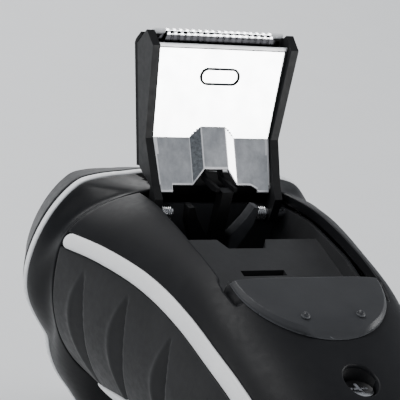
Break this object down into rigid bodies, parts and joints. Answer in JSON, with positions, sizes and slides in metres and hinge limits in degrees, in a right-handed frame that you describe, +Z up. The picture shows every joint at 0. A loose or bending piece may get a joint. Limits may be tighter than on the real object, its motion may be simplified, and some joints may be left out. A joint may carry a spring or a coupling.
{
  "type": "electric shaver",
  "caption": "Cordless rotary shaver lying on its front, lobed cutting head at one end and the pop-up trimmer on its back standing open.",
  "frame": {"origin": "centre of the bounding box, on the surface that the shaver lies on", "axes": "+X to the right of the trimmer, +Y along the handle towards the cutting head, +Z up, out of the back with the trimmer"},
  "size_m": [0.0738, 0.153, 0.1022],
  "materials": {
    "body_plastic": "fine satin texture",
    "dark_gloss": "glossy",
    "grip_rubber": "matte",
    "trim_satin": "satin silver lacquer",
    "ring_white": "satin",
    "black_plastic": "matte",
    "well_plastic": "satin",
    "slider_plastic": "satin",
    "face_steel": "polished, brushed lower part",
    "blade_steel": "ground",
    "spring_steel": "drawn wire",
    "pin_steel": "turned",
    "screw_chrome": "plated",
    "gear_nylon": "natural",
    "contact_brass": "bright",
    "motor_can": "zinc plated",
    "cell_sleeve": "shrink sleeve",
    "board": "solder mask",
    "foot_rubber": "matte",
    "light_lens": "clear tint"
  },
  "bodies": {
    "handle": {"back_shell": "body_plastic", "front_shell": "body_plastic", "left_grip": "grip_rubber", "right_grip": "grip_rubber", "left_upper_trim": "trim_satin", "right_upper_trim": "trim_satin", "left_lower_trim": "trim_satin", "right_lower_trim": "trim_satin", "head_collar": "dark_gloss", "trim_ring": "ring_white", "end_cap": "body_plastic", "charging_socket": "black_plastic", "socket_contacts": "contact_brass", "trimmer_well": "well_plastic", "foot_pad": "foot_rubber", "back_screw": "screw_chrome", "end_screws": "screw_chrome", "gear_plate": "gear_nylon", "motor": "motor_can", "motor_bracket": "black_plastic", "battery_cells": "cell_sleeve", "circuit_board": "board", "button_switch": "black_plastic", "button_ring": "trim_satin", "charge_light": "light_lens", "hinge_pins": "pin_steel", "hinge_springs": "spring_steel", "lever_pin": "pin_steel", "slider_spring": "spring_steel"},
    "trimmer": {"trimmer_frame": "body_plastic", "trimmer_cover": "body_plastic", "trimmer_plate": "face_steel", "comb_blade": "blade_steel", "arm_pin": "pin_steel", "blade_spring": "spring_steel"},
    "blade": {"cutting_blade": "blade_steel"},
    "arm": {"trimmer_arm": "black_plastic"},
    "lever": {"drive_lever": "black_plastic"},
    "slider": {"release_slider": "slider_plastic"},
    "button": {"power_button": "slider_plastic"},
    "head": {"head_frame": "dark_gloss", "cutter_retainer": "black_plastic"},
    "rotor": {"motor_gear": "gear_nylon"},
    "cap_1": {"cutter_cap_1": "blade_steel"},
    "cutter_1": {"inner_cutter_1": "pin_steel"},
    "spindle_1": {"spindle_gear_1": "gear_nylon"},
    "cap_2": {"cutter_cap_2": "blade_steel"},
    "cutter_2": {"inner_cutter_2": "pin_steel"},
    "spindle_2": {"spindle_gear_2": "gear_nylon"},
    "cap_3": {"cutter_cap_3": "blade_steel"},
    "cutter_3": {"inner_cutter_3": "pin_steel"},
    "spindle_3": {"spindle_gear_3": "gear_nylon"}
  },
  "joints": [
    {"name": "trimmer_flip", "type": "hinge", "parent": "handle", "child": "trimmer", "pos_m": [0, 0.049, 0.064], "axis": [1, 0, 0], "range_deg": [0, 109.5], "stiffness_Nm_per_rad": 0.004, "springref_deg": -57.3},
    {"name": "blade_slide", "type": "slide", "parent": "trimmer", "child": "blade", "axis": [1, 0, 0], "range_m": [-0.001, 0.001]},
    {"name": "lever_swing", "type": "hinge", "parent": "handle", "child": "lever", "pos_m": [0, 0.0454, 0.053], "axis": [0, 1, 0], "range_deg": [-3.4, 3.4]},
    {"name": "arm_swing", "type": "hinge", "parent": "trimmer", "child": "arm", "pos_m": [0, 0.05831, 0.0828], "axis": [0, 0.9871, -0.1599], "range_deg": [-4.6, 4.6]},
    {"name": "release_slide", "type": "slide", "parent": "handle", "child": "slider", "axis": [0, -1, 0], "range_m": [0, 0.003], "stiffness_N_per_m": 200, "springref_m": -0.002, "deforming": ["slider_spring"]},
    {"name": "power_press", "type": "slide", "parent": "handle", "child": "button", "axis": [0, 0, 1], "range_m": [0, 0.0012], "stiffness_N_per_m": 600, "springref_m": -0.001},
    {"name": "head_pull", "type": "slide", "parent": "handle", "child": "head", "axis": [0, 1, 0], "range_m": [0, 0.025]},
    {"name": "motor_spin", "type": "hinge", "parent": "handle", "child": "rotor", "pos_m": [0, 0.0475, 0.039], "axis": [0, 1, 0], "continuous": true},
    {"name": "cap_1_float", "type": "slide", "parent": "head", "child": "cap_1", "axis": [0, -1, 0], "range_m": [0, 0.0012], "stiffness_N_per_m": 400, "springref_m": -0.001},
    {"name": "cutter_1_spin", "type": "hinge", "parent": "cap_1", "child": "cutter_1", "pos_m": [0, 0.0725, 0.02], "axis": [0, 1, 0], "continuous": true},
    {"name": "spindle_1_spin", "type": "hinge", "parent": "handle", "child": "spindle_1", "pos_m": [0, 0.0565, 0.02], "axis": [0, 1, 0], "continuous": true},
    {"name": "cap_2_float", "type": "slide", "parent": "head", "child": "cap_2", "axis": [0, -1, 0], "range_m": [0, 0.0012], "stiffness_N_per_m": 400, "springref_m": -0.001},
    {"name": "cutter_2_spin", "type": "hinge", "parent": "cap_2", "child": "cutter_2", "pos_m": [-0.01645, 0.0725, 0.0485], "axis": [0, 1, 0], "continuous": true},
    {"name": "spindle_2_spin", "type": "hinge", "parent": "handle", "child": "spindle_2", "pos_m": [-0.01645, 0.0565, 0.0485], "axis": [0, 1, 0], "continuous": true},
    {"name": "cap_3_float", "type": "slide", "parent": "head", "child": "cap_3", "axis": [0, -1, 0], "range_m": [0, 0.0012], "stiffness_N_per_m": 400, "springref_m": -0.001},
    {"name": "cutter_3_spin", "type": "hinge", "parent": "cap_3", "child": "cutter_3", "pos_m": [0.01645, 0.0725, 0.0485], "axis": [0, 1, 0], "continuous": true},
    {"name": "spindle_3_spin", "type": "hinge", "parent": "handle", "child": "spindle_3", "pos_m": [0.01645, 0.0565, 0.0485], "axis": [0, 1, 0], "continuous": true}
  ],
  "couplings": [
    {"joint": "lever_swing", "follows": "blade_slide", "rad_per_m": -59.347},
    {"joint": "arm_swing", "follows": "blade_slide", "rad_per_m": 79.406},
    {"joint": "cutter_1_spin", "follows": "motor_spin", "ratio": -2.125},
    {"joint": "spindle_1_spin", "follows": "motor_spin", "ratio": -2.125},
    {"joint": "cutter_2_spin", "follows": "motor_spin", "ratio": -2.125},
    {"joint": "spindle_2_spin", "follows": "motor_spin", "ratio": -2.125},
    {"joint": "cutter_3_spin", "follows": "motor_spin", "ratio": -2.125},
    {"joint": "spindle_3_spin", "follows": "motor_spin", "ratio": -2.125}
  ]
}
